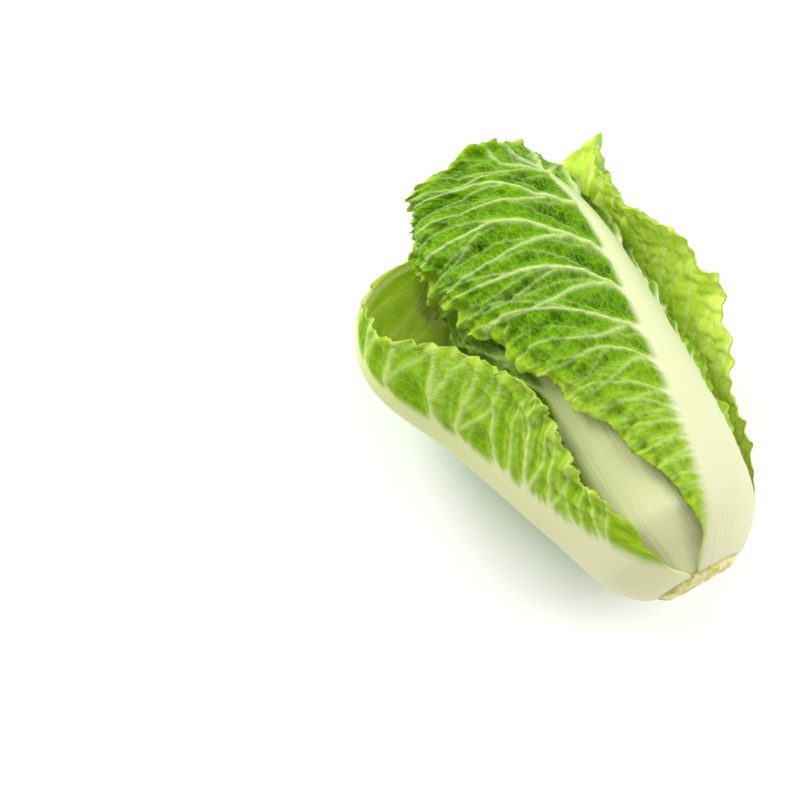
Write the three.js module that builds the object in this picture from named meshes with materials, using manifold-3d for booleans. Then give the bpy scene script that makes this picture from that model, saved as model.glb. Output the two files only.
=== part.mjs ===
// A head of napa cabbage, picked and laid on its side. Millimetres, +Z up.
// +X runs from the cut stem to the leaf tips, and the head's axis is level, above the table.
// Five loose outer leaves and five inner leaves each wrap the head as a solid of their own,
// in the two-fifths spiral of the plant. The stem carries them, and the heart fills the middle.
import * as THREE from "three";
import { mergeVertices } from "three/addons/utils/BufferGeometryUtils.js";
import Module from "manifold-3d";

const wasm = await Module();
wasm.setup();

// Driving dimensions
const HEAD_LENGTH = 296; // cut stem to the outermost leaf tips
const HEAD_RADIUS = 66; // over the front leaf, at the belly of the head
const STEM_RADIUS = 30; // the cut butt
const STEM_NECK = 24; // the stem inside the leaves
const BLADE = 1.1; // thickness of the green part of a leaf
const SETTLE = 2.6; // how far the head's weight flattens the leaf it lies on
const TABLE_LEAF = 13; // layer of the leaf that the head lies on
const AXIS_HEIGHT = HEAD_RADIUS + TABLE_LEAF - SETTLE;

// How finely a leaf is cut into faces
const VEINS = 9; // side veins in each half of a leaf
const ROWS = 2 * VEINS + 2; // a row on each side vein and one in each hollow between
const RIB_COLUMNS = 2;
const COLUMNS = RIB_COLUMNS + 4; // in each half

const rad = THREE.MathUtils.degToRad;
const { clamp, lerp, smoothstep } = THREE.MathUtils;

// Value at x of a smooth curve through the given [x, value] points
function through(points, x) {
  const last = points.length - 1;
  if (x <= points[0][0]) return points[0][1];
  if (x >= points[last][0]) return points[last][1];
  let i = 0;
  while (x > points[i + 1][0]) i += 1;
  const slope = (k) => {
    const before = points[Math.max(k - 1, 0)];
    const after = points[Math.min(k + 1, last)];
    return (after[1] - before[1]) / (after[0] - before[0]);
  };
  const [x0, v0] = points[i];
  const [x1, v1] = points[i + 1];
  const span = x1 - x0;
  const t = (x - x0) / span;
  const blend = t * t * (3 - 2 * t);
  const leave = span * slope(i) * t * (1 - t) * (1 - t);
  const arrive = span * slope(i + 1) * t * t * (1 - t);
  return v0 + (v1 - v0) * blend + leave - arrive;
}

// The head's profile: [share of its length from the butt, share of its largest radius]
const PROFILE = [
  [-0.01, 0.5], [0.025, 0.63], [0.08, 0.82], [0.17, 0.925], [0.32, 0.985],
  [0.5, 1], [0.68, 0.985], [0.8, 0.92], [0.89, 0.79], [0.96, 0.62], [1.03, 0.45],
];

function headRadius(x) {
  return HEAD_RADIUS * through(PROFILE, x / HEAD_LENGTH);
}

// The leaves are tight together where they leave the stem, and a full layer apart further up
const TIGHT = 0.15;
const LOOSE_AT = 62;

function layerAt(layer, x) {
  return layer * lerp(TIGHT, 1, smoothstep(x, 0, LOOSE_AT));
}

// Soft pleats that all the leaf tops share, so that nested leaves stay clear of each other
const PLEAT = 4.5;
const PLEAT_FROM = 195;

function pleat(azimuth, x, layer) {
  const outwards = (HEAD_RADIUS + layer) / HEAD_RADIUS;
  const depth = PLEAT * outwards * smoothstep(x, PLEAT_FROM, HEAD_LENGTH);
  const main = Math.sin(5 * azimuth + 0.05 * layer + 0.6);
  const second = Math.sin(8 * azimuth - 0.04 * layer + 2.1);
  return depth * (main + 0.5 * second);
}

// A leaf laid flat. Its rows run from the midrib to the margin, along the side veins.
// For a row: [row, where it leaves the midrib, where it meets the margin], as shares of the length,
// and how wide the leaf is there, from 0 at the stalk's width to 1 at the full width.
const ROW_ROOT = [[0, 0], [0.08, 0.06], [0.2, 0.17], [0.36, 0.32], [0.54, 0.48], [0.68, 0.6], [0.82, 0.71],
  [0.93, 0.8], [1, 0.86]];
const ROW_END = [[0, 0], [0.08, 0.08], [0.2, 0.25], [0.36, 0.48], [0.54, 0.7], [0.68, 0.82], [0.82, 0.93],
  [0.93, 0.99], [1, 1]];
const LOWER_WIDTH = [[0, 0], [0.08, 0], [0.2, 0.12], [0.36, 0.42], [0.54, 0.85], [0.68, 1]];
const UPPER_WIDTH = [[0.68, 1], [0.82, 0.86], [0.93, 0.48], [1, 0]];
// Halves that spread lower down, winged or broad from the foot up
const WINGED_WIDTH = [[0, 0], [0.08, 0.1], [0.2, 0.42], [0.36, 0.68], [0.54, 0.94], [0.68, 1]];
const BROAD_WIDTH = [[0, 0], [0.08, 0.3], [0.2, 0.6], [0.36, 0.8], [0.54, 0.95], [0.68, 1]];
const WIDEST_ROW = 0.68;
const SHOULDER = 0.82; // height of the widest place on a plain leaf
const ARCH = 1.08; // how early a side vein rises on its way out
const TIP_ARCH = 0.64; // the same for the vein that ends the midrib
const SCALLOP = 0.03; // the margin's notches, as a share of the width
const FOOT = 0.64; // width of the stalk's foot on the stem, as a share of its full width
const FOOT_ROW = 0.13; // row where the stalk has its full width

function veinWave(row) {
  return Math.cos(2 * Math.PI * (VEINS + 1) * (row - 0.15));
}

// The point of a flat leaf at a row, and at a share of the way from the midrib to one margin
function flatPoint(leaf, row, side, share) {
  const half = side < 0 ? leaf.left : leaf.right;
  const length = leaf.tip - leaf.base;
  const shoulder = half.shoulder ?? SHOULDER;
  const end = through(ROW_END, row);
  const lowEnd = (end * shoulder) / SHOULDER;
  const highEnd = 1 - ((1 - end) * (1 - shoulder)) / (1 - SHOULDER);
  const rootY = leaf.base + length * through(ROW_ROOT, row);
  const endY = leaf.base + length * (row < WIDEST_ROW ? lowEnd : highEnd);
  const stalk = leaf.stalk * lerp(leaf.foot ?? FOOT, 1, smoothstep(row, 0, FOOT_ROW));
  const lower = stalk + (half.width - leaf.stalk) * through(half.lower ?? LOWER_WIDTH, row);
  const upper = half.width * through(half.upper ?? UPPER_WIDTH, row);
  const width = (row < WIDEST_ROW ? lower : upper) * (1 - SCALLOP * veinWave(row));
  const archY = lerp(rootY, endY, lerp(ARCH, TIP_ARCH, smoothstep(row, 0.75, 1)));
  const out = 2 * share * (1 - share) * 0.5 + share * share;
  const y = (1 - share) ** 2 * rootY + 2 * share * (1 - share) * archY + share * share * endY;
  return { across: side * out * width, along: y, width };
}

// Half width and thickness of the midrib at a height on the leaf
const RIB_TAPER = 1.1;
const RIB_TIP = 1.5; // half width at the tip

function ribHalfWidth(leaf, along) {
  const up = clamp((along - leaf.base) / (leaf.tip - leaf.base), 0, 1);
  return leaf.stalk * (1 - up) ** RIB_TAPER + RIB_TIP;
}

function thickness(leaf, across, along) {
  const up = clamp((along - leaf.base) / (leaf.tip - leaf.base), 0, 1);
  const foot = lerp(0.7, 1, smoothstep(along, leaf.base, leaf.base + 25));
  const rib = BLADE + leaf.rib * (1 - up) ** 0.9 * foot;
  const away = smoothstep(Math.abs(across) / ribHalfWidth(leaf, along), 0.35, 1.15);
  return lerp(rib, BLADE, away);
}

// How far a leaf stands off the head there: it leans out, its margins open, and its veins are raised
const RIB_BULGE = 0.22; // of the midrib's thickness
const VEIN_RISE = 1.1;

function standOff(leaf, flat, row, share, side) {
  const half = side < 0 ? leaf.left : leaf.right;
  const toMargin = Math.abs(flat.across) / half.width;
  const lean = leaf.lean ? through(leaf.lean, flat.along) : 0;
  const held = 1 - (half.drop ?? 0) * smoothstep(toMargin, 0.05, 0.95);
  const open = half.open ? through(half.open, flat.along) * smoothstep(toMargin, 0.1, 1) ** 1.3 : 0;
  const rib = Math.abs(flat.across) / ribHalfWidth(leaf, flat.along);
  const rounded = smoothstep(flat.along, leaf.base, leaf.base + 40);
  const bulge = RIB_BULGE * leaf.rib * Math.max(0, 1 - rib * rib) * rounded;
  const onBlade = smoothstep(rib, 0.8, 1.8);
  const vein = VEIN_RISE * leaf.relief * veinWave(row) * onBlade * (1 - 0.5 * share);
  const frill = smoothstep(share, 0.55, 1) * (0.5 - 0.5 * veinWave(row));
  const wave = (half.wave ?? leaf.wave) * frill * smoothstep(row, 0.1, 0.4);
  return lean * held + open + bulge + vein + wave;
}

// The outer face of a leaf wrapped round the head
const ROOT_BEND = 26; // length over which an inner leaf bends out from the stem

function leafPoint(leaf, row, signedShare) {
  const side = signedShare < 0 ? -1 : 1;
  const share = Math.abs(signedShare);
  const flat = flatPoint(leaf, row, side, share);
  const x = flat.along;
  const lean = leaf.lean ? through(leaf.lean, x) : 0;
  let ring = headRadius(x) + layerAt(leaf.layer, x);
  if (leaf.root) ring = lerp(leaf.root, ring, smoothstep(x, leaf.base, leaf.base + ROOT_BEND));
  const turn = leaf.turn ? through(leaf.turn, x) : 0;
  const azimuth = rad(leaf.azimuth + turn) + flat.across / (ring + lean / 2);
  const r = ring + standOff(leaf, flat, row, share, side) + pleat(azimuth, x, leaf.layer);
  const height = leaf.curl ? curled(leaf, x, r, ring) : { x, r };
  const point = new THREE.Vector3(height.x, -height.r * Math.sin(azimuth), height.r * Math.cos(azimuth));
  return { point, thickness: thickness(leaf, flat.across, x) };
}

// A leaf that leans out curls its top back in over the head, as far as it stands free of the head
function curled(leaf, x, r, ring) {
  const { from, radius, reach } = leaf.curl;
  const angle = Math.max(0, x - from) / radius;
  const free = smoothstep(r - ring, 0.25 * reach, reach);
  return {
    x: lerp(x, Math.min(x, from) + radius * Math.sin(angle), free),
    r: r - free * radius * (1 - Math.cos(angle)),
  };
}

// Shares of the way to the margin at which a row has its vertices: over the midrib, then over the blade
function columnShare(leaf, row, side, column) {
  if (column === 0) return 0;
  const { width, along } = flatPoint(leaf, row, side, 0.3);
  const ribEdge = Math.min(0.5, (1.05 * ribHalfWidth(leaf, along)) / Math.max(width, 1));
  if (column <= RIB_COLUMNS) return ribEdge * (column === 1 ? 0.55 : 1);
  const bladeColumns = (leaf.columns ?? COLUMNS) - RIB_COLUMNS;
  return lerp(ribEdge, 1, ((column - RIB_COLUMNS) / bladeColumns) ** 0.85);
}

const STEP = 1e-3;
const TIP_STEP = 0.02;

// Direction out of the leaf's outer face. On the last row, which runs on from the midrib to the tip,
// the two halves meet, so it is read from the rows on either side.
function outward(leaf, row, share) {
  const at = (r, s) => leafPoint(leaf, r, s).point;
  const atTip = row === 1;
  const side = share < 0 ? -1 : 1;
  const out = Math.max(Math.abs(share), atTip ? TIP_STEP : STEP) * side;
  const alongRow = atTip
    ? at(1 - TIP_STEP, out).sub(at(1 - TIP_STEP, -out))
    : at(row, out + STEP).sub(at(row, out - STEP));
  const alongRib = atTip
    ? at(1, Math.min(share + TIP_STEP, 1)).sub(at(1, Math.max(share - TIP_STEP, 0)))
    : at(Math.min(row + STEP, 1), share).sub(at(Math.max(row - STEP, 0), share));
  return alongRow.cross(alongRib).normalize();
}

// Outer and inner face points at a row and column; the outer face is flattened where it meets the table
function facePoints(leaf, row, column) {
  const side = column < 0 ? -1 : 1;
  const share = columnShare(leaf, row, side, Math.abs(column)) * side;
  const { point: outer, thickness: depth } = leafPoint(leaf, row, share);
  const inner = outer.clone().addScaledVector(outward(leaf, row, share), -depth);
  outer.z = Math.max(outer.z, -AXIS_HEIGHT);
  inner.z = Math.max(inner.z, outer.z + Math.min(BLADE, inner.z - outer.z), BLADE - AXIS_HEIGHT);
  return { outer, inner };
}

// One leaf as a closed solid: an outer and an inner face with the same triangles, and a rim
function leafGeometry(leaf) {
  const rows = leaf.rows ?? ROWS;
  const columns = leaf.columns ?? COLUMNS;
  const positions = [];
  const faces = [];
  const index = [];
  for (let r = 0; r <= rows; r += 1) {
    index.push({});
    for (let c = -columns; c <= columns; c += 1) {
      if (r === rows && c < 0) continue;
      const { outer, inner } = facePoints(leaf, r / rows, c);
      index[r][c] = positions.length / 3;
      positions.push(...outer.toArray(), ...inner.toArray());
    }
  }
  // The last row runs on from the midrib to the tip, and both halves share it
  for (let c = 1; c <= columns; c += 1) index[rows][-c] = index[rows][c];
  const quad = (a, b, c, d) => faces.push(a, b, c, a, c, d);
  const rim = (a, b) => quad(a + 1, b + 1, b, a);
  for (let r = 0; r < rows; r += 1) {
    for (let c = -columns; c < columns; c += 1) {
      const [a, b, d, e] = [index[r][c], index[r][c + 1], index[r + 1][c + 1], index[r + 1][c]];
      quad(a, b, d, e);
      faces.push(a + 1, d + 1, b + 1, a + 1, e + 1, d + 1);
    }
    rim(index[r][columns], index[r + 1][columns]);
    rim(index[r + 1][-columns], index[r][-columns]);
  }
  for (let c = -columns; c < columns; c += 1) rim(index[0][c], index[0][c + 1]);
  const geometry = new THREE.BufferGeometry();
  geometry.setAttribute("position", new THREE.Float32BufferAttribute(positions, 3));
  geometry.setIndex(faces);
  return geometry;
}

// The five outer leaves. Azimuth is measured round the head from the top, to the right of the tip.
const OUTER_LEAVES = [
  {
    name: "leaf_front", azimuth: 48, turn: [[0, -8], [45, -4], [140, 0], [254, 7]], layer: 0,
    base: 0, tip: HEAD_LENGTH, stalk: 30, foot: 0.98, rib: 7, relief: 1.3, wave: 4, columns: RIB_COLUMNS + 6,
    left: { width: 136, lower: [[0, 0], [0.08, 0.03], [0.2, 0.25], [0.36, 0.56], [0.54, 0.91], [0.68, 1]] },
    right: { width: 74 },
  },
  {
    name: "leaf_under", azimuth: -21, layer: -8, base: 9, root: 36, tip: 262,
    stalk: 29, foot: 0.46, rib: 6, relief: 0.4, wave: 1,
    left: { width: 80 },
    right: { width: 88 },
  },
  {
    name: "leaf_left", azimuth: -90, turn: [[0, 22], [30, 14], [70, 3], [120, 0]], layer: 1,
    base: 0, tip: 276, stalk: 32, foot: 0.95, rib: 6, relief: 0.8, wave: 5,
    lean: [[0, 0], [40, -3], [85, 7], [140, 25], [185, 46], [212, 51], [240, 45], [276, 28]],
    curl: { from: 238, radius: 19, reach: 26 },
    left: { width: 76, drop: 1, wave: 1, lower: BROAD_WIDTH },
    right: {
      width: 74, drop: 1, shoulder: 0.5,
      lower: [[0, 0], [0.08, 0.08], [0.2, 0.46], [0.36, 0.67], [0.54, 0.96], [0.68, 1]],
      upper: [[0.68, 1], [0.75, 0.72], [0.82, 0.32], [0.93, 0.16], [1, 0]],
    },
  },
  {
    name: "leaf_right", azimuth: 122, layer: 8, base: 0, tip: 278,
    stalk: 27, foot: 0.66, rib: 6, relief: 0.8, wave: 5,
    lean: [[0, 0], [225, 0], [252, 5], [278, 22]],
    left: {
      width: 78, lower: WINGED_WIDTH,
      open: [[40, 0], [79, 8], [113, 20], [140, 29], [191, 21], [215, 9], [240, 8], [282, 18]],
    },
    right: { width: 50, drop: 1, wave: 1 },
  },
  {
    name: "leaf_table", azimuth: 184, layer: TABLE_LEAF, base: 0, tip: 284,
    stalk: 29, foot: 0.72, rib: 7, relief: 0.8, wave: 3,
    left: { width: 58, shoulder: 0.7 },
    right: { width: 66, lower: BROAD_WIDTH },
  },
];

// The inner leaves follow the same spiral between the outer ones, each a layer further in and lower
const INNER_LEAVES = 5;
const INNER_LAYER = -18;
const LAYER_GAP = 4.8;
const INNER_RIB = 1.6;
const SPIRAL = -144;

function innerLeaf(k) {
  return {
    name: `leaf_inner_${k + 1}`, azimuth: 14 + SPIRAL * k, layer: INNER_LAYER - LAYER_GAP * k,
    base: 12 + 4 * k, root: STEM_NECK + INNER_RIB + 3, tip: 276 - 12 * k, stalk: 27, foot: 0.5,
    rib: INNER_RIB, relief: 0.1, wave: 0.3,
    left: { width: 80 - 5 * k, lower: WINGED_WIDTH }, right: { width: 80 - 5 * k, lower: WINGED_WIDTH },
  };
}

// The heart: a core with its youngest leaves standing out of it, grown together as one body
const HEART_LEAVES = 3;
const HEART_LAYER = INNER_LAYER - LAYER_GAP * INNER_LEAVES + 0.5;
const HEART_GAP = 3;
const CORE_LAYER = HEART_LAYER - HEART_GAP * HEART_LEAVES - 0.5;
const CORE_FOOT = 48;
const CORE_TOP = 216;
const FUSED = 0.02; // points closer than this are one, where leaves and core have grown together
const CORE_SIDES = 14;
const CORE_RINGS = 7;

function coreRadius(x) {
  return headRadius(x) + CORE_LAYER;
}

function heartLeaf(k) {
  const base = 80 + 8 * k;
  return {
    azimuth: 50 + SPIRAL * k, layer: HEART_LAYER - HEART_GAP * k,
    base, root: coreRadius(base) - 2, tip: 244 - 8 * k,
    stalk: 12, rib: 1, relief: 0.1, wave: 0.6, rows: VEINS + 1, columns: COLUMNS - 2,
    left: { width: 40 - 3 * k }, right: { width: 40 - 3 * k },
  };
}

function coreGeometry() {
  const outline = [new THREE.Vector2(0, CORE_FOOT)];
  for (let i = 0; i <= CORE_RINGS; i += 1) {
    const x = lerp(CORE_FOOT, CORE_TOP, i / CORE_RINGS);
    outline.push(new THREE.Vector2(coreRadius(x) * (i === CORE_RINGS ? 0.5 : 1), x));
  }
  outline.push(new THREE.Vector2(0, CORE_TOP + 4));
  return new THREE.LatheGeometry(outline, CORE_SIDES).rotateZ(-Math.PI / 2);
}

function solidOf(geometry) {
  const bare = new THREE.BufferGeometry();
  const loose = geometry.index ? geometry.toNonIndexed() : geometry;
  bare.setAttribute("position", loose.getAttribute("position"));
  const merged = mergeVertices(bare, STEP);
  const vertProperties = merged.getAttribute("position").array;
  const triVerts = new Uint32Array(merged.index.array);
  return new wasm.Manifold(new wasm.Mesh({ numProp: 3, vertProperties, triVerts }));
}

function geometryOf(solid) {
  const { vertProperties, triVerts } = solid.getMesh();
  const geometry = new THREE.BufferGeometry();
  geometry.setAttribute("position", new THREE.BufferAttribute(vertProperties, 3));
  geometry.setIndex(new THREE.BufferAttribute(triVerts, 1));
  return geometry;
}

function heartGeometry() {
  let heart = solidOf(coreGeometry());
  for (let k = 0; k < HEART_LEAVES; k += 1) heart = heart.add(solidOf(leafGeometry(heartLeaf(k))));
  return geometryOf(heart.simplify(FUSED));
}

// The stem: a butt, cut flat, that carries the feet of the outer leaves, and a neck up into the head.
// Its outline is given as [radius, height].
const STEM_SIDES = 24;
const STEM_TOP = 46;
const STEM_OUTLINE = [
  [0, -4], [0.88 * STEM_RADIUS, -4], [0.97 * STEM_RADIUS, -3], [STEM_RADIUS, -1.5],
  [0.98 * STEM_RADIUS, -0.4], [STEM_NECK + 1, -0.2], [STEM_NECK, 3], [0.98 * STEM_NECK, 14],
  [0.9 * STEM_NECK, 36], [0.5 * STEM_NECK, STEM_TOP - 1],
  [0, STEM_TOP],
];

function stemGeometry() {
  const outline = STEM_OUTLINE.map(([radius, x]) => new THREE.Vector2(radius, x));
  return new THREE.LatheGeometry(outline, STEM_SIDES).rotateZ(-Math.PI / 2);
}

const LEAF_MATERIAL = new THREE.MeshStandardMaterial({ color: 0x8dbb3c, roughness: 0.5, metalness: 0 });
const HEART_MATERIAL = new THREE.MeshStandardMaterial({ color: 0xdfe58a, roughness: 0.5, metalness: 0 });
const STEM_MATERIAL = new THREE.MeshStandardMaterial({ color: 0xd9d296, roughness: 0.7, metalness: 0 });

function addMesh(group, name, geometry, material) {
  const mesh = new THREE.Mesh(geometry, material);
  mesh.name = name;
  group.add(mesh);
}

const head = new THREE.Group();
addMesh(head, "stem", stemGeometry(), STEM_MATERIAL);
addMesh(head, "heart", heartGeometry(), HEART_MATERIAL);
for (const leaf of OUTER_LEAVES) addMesh(head, leaf.name, leafGeometry(leaf), LEAF_MATERIAL);
for (let k = 0; k < INNER_LEAVES; k += 1) {
  const leaf = innerLeaf(k);
  addMesh(head, leaf.name, leafGeometry(leaf), LEAF_MATERIAL);
}

// The head is set with its lowest point on the table and the middle of its box over the origin
const box = new THREE.Box3().setFromObject(head);
const middle = box.getCenter(new THREE.Vector3());
head.position.set(-middle.x, -middle.y, -box.min.z);

const cabbage = new THREE.Group();
cabbage.add(head);

export default cabbage;
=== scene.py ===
# %% [markdown]
# # A napa cabbage, leaf by leaf
# The head lies on its side. Its leaves leave the cut stem in a spiral and wrap round a pale heart.
# The frame already holds a plain solid for every leaf. Here each one is grown again with its veins,
# its crinkled net and its frilled margin, in the same place, so that the frame still fits it.

# %% Load the frame
import math

import bpy
import numpy as np
from mathutils import Matrix, Vector


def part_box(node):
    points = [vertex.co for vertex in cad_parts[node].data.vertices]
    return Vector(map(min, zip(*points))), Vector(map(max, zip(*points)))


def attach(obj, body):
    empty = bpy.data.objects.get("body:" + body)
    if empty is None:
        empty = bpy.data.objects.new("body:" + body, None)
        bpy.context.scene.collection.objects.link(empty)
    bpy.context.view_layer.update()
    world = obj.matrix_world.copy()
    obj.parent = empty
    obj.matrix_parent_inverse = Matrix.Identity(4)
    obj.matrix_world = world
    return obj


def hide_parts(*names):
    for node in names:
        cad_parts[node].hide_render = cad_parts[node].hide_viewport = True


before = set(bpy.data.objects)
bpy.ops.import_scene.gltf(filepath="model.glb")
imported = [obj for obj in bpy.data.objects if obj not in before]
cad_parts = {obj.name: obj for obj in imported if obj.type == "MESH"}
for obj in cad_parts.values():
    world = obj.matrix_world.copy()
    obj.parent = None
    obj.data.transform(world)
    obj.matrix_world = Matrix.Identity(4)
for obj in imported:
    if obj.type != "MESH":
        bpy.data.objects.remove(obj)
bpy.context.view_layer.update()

bpy.ops.object.select_all(action="DESELECT")
MM = 0.001  # the leaf formulas are in millimetres, and Blender is in metres
print("nodes in the frame:", sorted(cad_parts))

# %% [markdown]
# ## Where the head lies
# Every leaf is placed round one straight line, the head's axis. The stem's box gives it: the axis runs
# along +X through the middle of the stem, and heights along the head are counted from where leaves start.

# %% Find the head's axis
STEM_BUTT = 4.0  # the stem's cut end stands this far below the leaves' feet

stem_low, stem_high = (np.array(corner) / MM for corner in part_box("stem"))
front_high = np.array(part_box("leaf_front")[1]) / MM
axis_foot = (stem_low + stem_high) / 2
axis_foot[0] = stem_low[0] + STEM_BUTT
HEAD_LENGTH = front_high[0] - axis_foot[0]
STEM_RADIUS = (stem_high[2] - stem_low[2]) / 2
STEM_NECK = 0.8 * STEM_RADIUS  # the stem inside the leaves
HEAD_RADIUS = 66.0
print(f"head {HEAD_LENGTH:.0f} mm long, stem radius {STEM_RADIUS:.0f} mm, axis {axis_foot[2]:.1f} mm up")


# %% [markdown]
# ## Curves through points
# Outlines such as the head's profile are given by a few points, and a smooth curve is drawn through them.
# numpy works all vertices of a leaf out at once, so every helper here takes whole arrays.

# %% Curve helpers
def through(points, x):
    """Value at x of a smooth curve through the given (x, value) points."""
    xs, values = np.array(points, dtype=float).T
    ends = np.arange(len(xs))
    before, after = np.maximum(ends - 1, 0), np.minimum(ends + 1, len(xs) - 1)
    slopes = (values[after] - values[before]) / (xs[after] - xs[before])
    x = np.clip(x, xs[0], xs[-1])
    i = np.clip(np.searchsorted(xs, x) - 1, 0, len(xs) - 2)
    span = xs[i + 1] - xs[i]
    t = (x - xs[i]) / span
    blend = t * t * (3 - 2 * t)
    leave = span * slopes[i] * t * (1 - t) ** 2
    arrive = span * slopes[i + 1] * t * t * (1 - t)
    return values[i] + (values[i + 1] - values[i]) * blend + leave - arrive


def ease(x, low, high):
    """Goes smoothly from 0 at low to 1 at high."""
    t = np.clip((x - low) / (high - low), 0.0, 1.0)
    return t * t * (3 - 2 * t)


def mix(a, b, share):
    return a + (b - a) * share


PROFILE = [(-0.01, 0.5), (0.025, 0.63), (0.08, 0.82), (0.17, 0.925), (0.32, 0.985), (0.5, 1.0),
           (0.68, 0.985), (0.8, 0.92), (0.89, 0.79), (0.96, 0.62), (1.03, 0.45)]


def head_radius(x):
    return HEAD_RADIUS * through(PROFILE, x / HEAD_LENGTH)


print("belly radius", head_radius(np.array([HEAD_LENGTH / 2])), "mm")

# %% [markdown]
# ## A leaf laid flat
# A cabbage leaf is a fan. Its rows run from the midrib out to the margin along the side veins, and a
# second number, the share, says how far along a row a point is. A plain grid can be laid on the leaf that
# way: its rows become side veins, its middle column becomes the midrib, and its last row closes the tip.

# %% The flat leaf
ROW_ROOT = [(0, 0), (0.08, 0.06), (0.2, 0.17), (0.36, 0.32), (0.54, 0.48), (0.68, 0.6), (0.82, 0.71),
            (0.93, 0.8), (1, 0.86)]
ROW_END = [(0, 0), (0.08, 0.08), (0.2, 0.25), (0.36, 0.48), (0.54, 0.7), (0.68, 0.82), (0.82, 0.93),
           (0.93, 0.99), (1, 1)]
LOWER_WIDTH = [(0, 0), (0.08, 0), (0.2, 0.12), (0.36, 0.42), (0.54, 0.85), (0.68, 1)]
UPPER_WIDTH = [(0.68, 1), (0.82, 0.86), (0.93, 0.48), (1, 0)]
WINGED_WIDTH = [(0, 0), (0.08, 0.1), (0.2, 0.42), (0.36, 0.68), (0.54, 0.94), (0.68, 1)]
BROAD_WIDTH = [(0, 0), (0.08, 0.3), (0.2, 0.6), (0.36, 0.8), (0.54, 0.95), (0.68, 1)]
WIDEST_ROW = 0.68
SHOULDER = 0.82  # how far up the leaf its widest row ends
ARCH, TIP_ARCH, TIP_ARCH_FROM = 1.08, 0.64, 0.75  # how much rows arch, and less so from that row on
WAVES, FIRST_CREST = 10, 0.15  # waves along a margin, and the row of one of their crests
SCALLOP = 0.03  # share of the width by which the waves cut into the margin
FOOT, FOOT_ROW = 0.64, 0.13  # share of the stalk's width at its foot, and the row where it is full


def margin_wave(row):
    """1 on a crest of the margin's waves and -1 in a trough."""
    return np.cos(2 * np.pi * WAVES * (row - FIRST_CREST))


def flat_leaf(leaf, half, row, share):
    """How far across and along the flat leaf a point is, in millimetres."""
    length = leaf["tip"] - leaf["base"]
    shoulder = half.get("shoulder", SHOULDER)
    end = through(ROW_END, row)
    low_end = end * shoulder / SHOULDER
    high_end = 1 - (1 - end) * (1 - shoulder) / (1 - SHOULDER)
    root_y = leaf["base"] + length * through(ROW_ROOT, row)
    end_y = leaf["base"] + length * np.where(row < WIDEST_ROW, low_end, high_end)
    stalk = leaf["stalk"] * mix(leaf.get("foot", FOOT), 1, ease(row, 0, FOOT_ROW))
    lower = stalk + (half["width"] - leaf["stalk"]) * through(half.get("lower", LOWER_WIDTH), row)
    upper = half["width"] * through(half.get("upper", UPPER_WIDTH), row)
    width = np.where(row < WIDEST_ROW, lower, upper) * (1 - SCALLOP * margin_wave(row))
    arch_y = mix(root_y, end_y, mix(ARCH, TIP_ARCH, ease(row, TIP_ARCH_FROM, 1)))
    along = (1 - share) ** 2 * root_y + 2 * share * (1 - share) * arch_y + share ** 2 * end_y
    return share * width, along


RIB_TAPER, RIB_TIP = 1.1, 1.5  # how fast a midrib narrows, and its half width at the tip


def rib_half_width(leaf, along):
    up = np.clip((along - leaf["base"]) / (leaf["tip"] - leaf["base"]), 0, 1)
    return leaf["stalk"] * (1 - up) ** leaf.get("taper", RIB_TAPER) + leaf.get("rib_tip", RIB_TIP)


print("a leaf is widest at row", WIDEST_ROW, "and its margin has", WAVES, "waves")

# %% [markdown]
# ## Veins and net
# Side veins fork on their way to the margin, and a net of small veins fills the blade between them.
# The forks could be drawn as curves, but a height that every vertex works out for itself gives raised
# veins and their colour at once. The net is too fine for vertices, so the material draws it later as a
# cell pattern. It is measured on the flat leaf in millimetres, so its cells have one size on every leaf.

# %% Side veins and the net
# Rows of the side veins: close together low on the leaf, far apart near its tip
VEIN_ROWS = np.array([0.045, 0.07, 0.095, 0.12, 0.145, 0.17, 0.2, 0.235, 0.27, 0.31, 0.37, 0.465, 0.565,
                      0.69, 0.86, 0.965])
SPARSE_VEIN_ROWS = np.array([0.06, 0.12, 0.19, 0.27, 0.36, 0.46, 0.57, 0.69, 0.82, 0.94])
WIDE_GAP = 0.1  # rows between two veins high on the leaf
# Forks: where one leaves its side vein, how many gaps it drifts by the margin, and how strong it is
FORKS = [(0.0, 0.1, 1.0), (0.28, -0.62, 0.8), (0.5, 0.42, 0.6), (0.58, -0.36, 0.6), (0.12, -0.36, 0.35),
         (0.16, 0.52, 0.35), (0.74, 0.24, 0.45), (0.8, -0.2, 0.45)]
FORK_SPREAD = 0.4  # share of the row over which a fork moves away from its vein
MAIN_FORK = 0.7  # forks stronger than this have hollows beside them
VEIN_FULL, VEIN_FINE = 4.4, 0.8  # half width of a side vein at the midrib and at the margin
VEIN_TAPER = 0.38  # below 1, so a vein narrows fastest near the midrib
VEIN_WANDER, VEIN_SHIFT = 0.14, 0.24  # how far a vein strays from its row, in gaps between veins
FAN_SPACING = 0.62  # width of all rows across veins that fan out, as a share of the leaf's length
NET_CELL, NET_STRETCH = 3.8, 1.7  # net of small veins: how wide its cells are, and how much longer


def jitter(i, j, seed):
    """A steady number between 0 and 1 for each pair of whole numbers."""
    value = np.sin(i * 127.1 + j * 311.7 + seed * 74.7) * 43758.5453
    return value - np.floor(value)


def ripple(u, seed):
    """A smooth irregular line between -1 and 1, with a new value at every whole number."""
    low = np.floor(u)
    return 2 * mix(jitter(low, 0, seed), jitter(low + 1, 0, seed), ease(u - low, 0, 1)) - 1


def lobes(u, seed):
    """Round lobes between 0 and 1, one to every whole number, with a notch between two."""
    low = np.floor(u)
    return np.sin(np.pi * (u - low)) ** 0.7 * mix(0.4, 1, jitter(low, 1, seed))


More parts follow.
